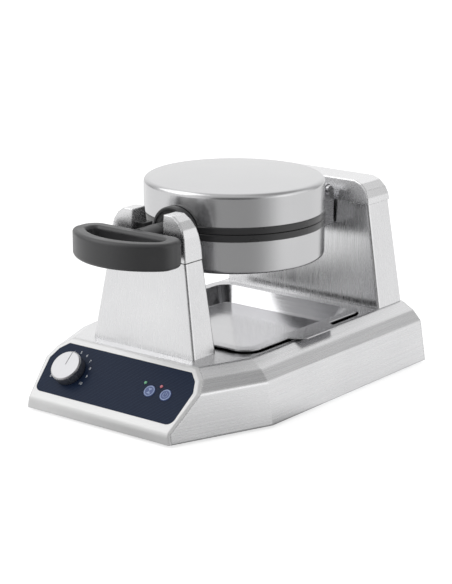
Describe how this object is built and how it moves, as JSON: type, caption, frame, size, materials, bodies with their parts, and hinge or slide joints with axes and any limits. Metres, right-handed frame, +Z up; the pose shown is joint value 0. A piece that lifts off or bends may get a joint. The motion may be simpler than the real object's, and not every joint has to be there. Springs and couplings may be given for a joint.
{
  "type": "ice cream panini press",
  "caption": "Countertop press whose round heated mould closes on a filled bun and turns over between two towers, with a hinged lid.",
  "frame": {"origin": "centre of the bounding box on the counter, under the feet", "axes": "+X right seen from the control panel, +Y from the front to the back, +Z up"},
  "size_m": [0.293, 0.423, 0.2405],
  "materials": {
    "brushed_steel_body": "brushed",
    "cast_caps": "satin",
    "mould_shell": "brushed",
    "panel_bezel": "satin",
    "navy_overlay": "satin",
    "black_ring": "semi-gloss",
    "charcoal_handle": "soft-touch",
    "cast_plate": "non-stick coating",
    "tray_steel": "polished",
    "well_black": "matte",
    "plain_steel": "machined",
    "frame_steel": "zinc",
    "foot_rubber": "matte",
    "dial_metal": "satin",
    "button_blue": "satin",
    "lamp_green": "gloss",
    "lamp_red": "gloss",
    "circuit_board": "matte",
    "black_plastic": "matte",
    "heater_steel": "oxidised"
  },
  "bodies": {
    "base": {"base_housing": "brushed_steel_body", "bottom_cover": "frame_steel", "cover_screws": "plain_steel", "rubber_feet": "foot_rubber", "foot_screws": "plain_steel", "control_bezel": "panel_bezel", "control_overlay": "navy_overlay", "green_lamp": "lamp_green", "red_lamp": "lamp_red", "control_board": "circuit_board", "board_spacers": "plain_steel", "timer_body": "black_plastic", "front_tower": "brushed_steel_body", "front_yoke": "cast_caps", "yoke_saddle": "charcoal_handle", "front_frame": "frame_steel", "rear_frame": "frame_steel", "rear_bearing": "plain_steel", "bearing_screws": "plain_steel", "rear_tower": "brushed_steel_body", "rear_cap": "cast_caps", "tray_well": "well_black", "cord_gland": "black_plastic", "terminal_block": "black_plastic", "power_relay": "black_plastic"},
    "timer_dial": {"timer_knob": "dial_metal", "timer_spindle": "plain_steel"},
    "start_button": {"start_button": "button_blue"},
    "standby_button": {"standby_button": "button_blue"},
    "drip_tray": {"drip_tray": "tray_steel"},
    "carriage": {"lower_shell": "mould_shell", "lower_ring": "black_ring", "lower_plate": "cast_plate", "lower_heater": "heater_steel", "lower_thermostat": "plain_steel", "lower_studs": "plain_steel", "hinge_bracket": "plain_steel", "pivot_shaft": "plain_steel", "pivot_collar": "plain_steel", "hinge_pin": "plain_steel"},
    "lid": {"upper_shell": "mould_shell", "upper_ring": "black_ring", "upper_plate": "cast_plate", "upper_heater": "heater_steel", "upper_thermostat": "plain_steel", "upper_studs": "plain_steel", "hinge_leaf": "plain_steel", "handle_flange": "charcoal_handle", "handle_sleeve": "charcoal_handle", "handle_grip": "charcoal_handle"}
  },
  "joints": [
    {"name": "mould_flip", "type": "hinge", "parent": "base", "child": "carriage", "pos_m": [0, 0.1785, 0.191], "axis": [0, -1, 0], "range_deg": [-180, 0]},
    {"name": "lid_hinge", "type": "hinge", "parent": "carriage", "child": "lid", "pos_m": [0, 0.1445, 0.205], "axis": [-1, 0, 0], "range_deg": [0, 90]},
    {"name": "timer_turn", "type": "hinge", "parent": "base", "child": "timer_dial", "pos_m": [-0.0645, -0.18019, 0.04354], "axis": [0, 0.6763, -0.7366], "range_deg": [-117, 117]},
    {"name": "start_press", "type": "slide", "parent": "base", "child": "start_button", "axis": [0, 0.6763, -0.7366], "range_m": [0, 0.001], "stiffness_N_per_m": 900},
    {"name": "standby_press", "type": "slide", "parent": "base", "child": "standby_button", "axis": [0, 0.6763, -0.7366], "range_m": [0, 0.001], "stiffness_N_per_m": 900},
    {"name": "tray_lift", "type": "slide", "parent": "base", "child": "drip_tray", "axis": [0, 0, 1], "range_m": [0, 0.025]}
  ]
}
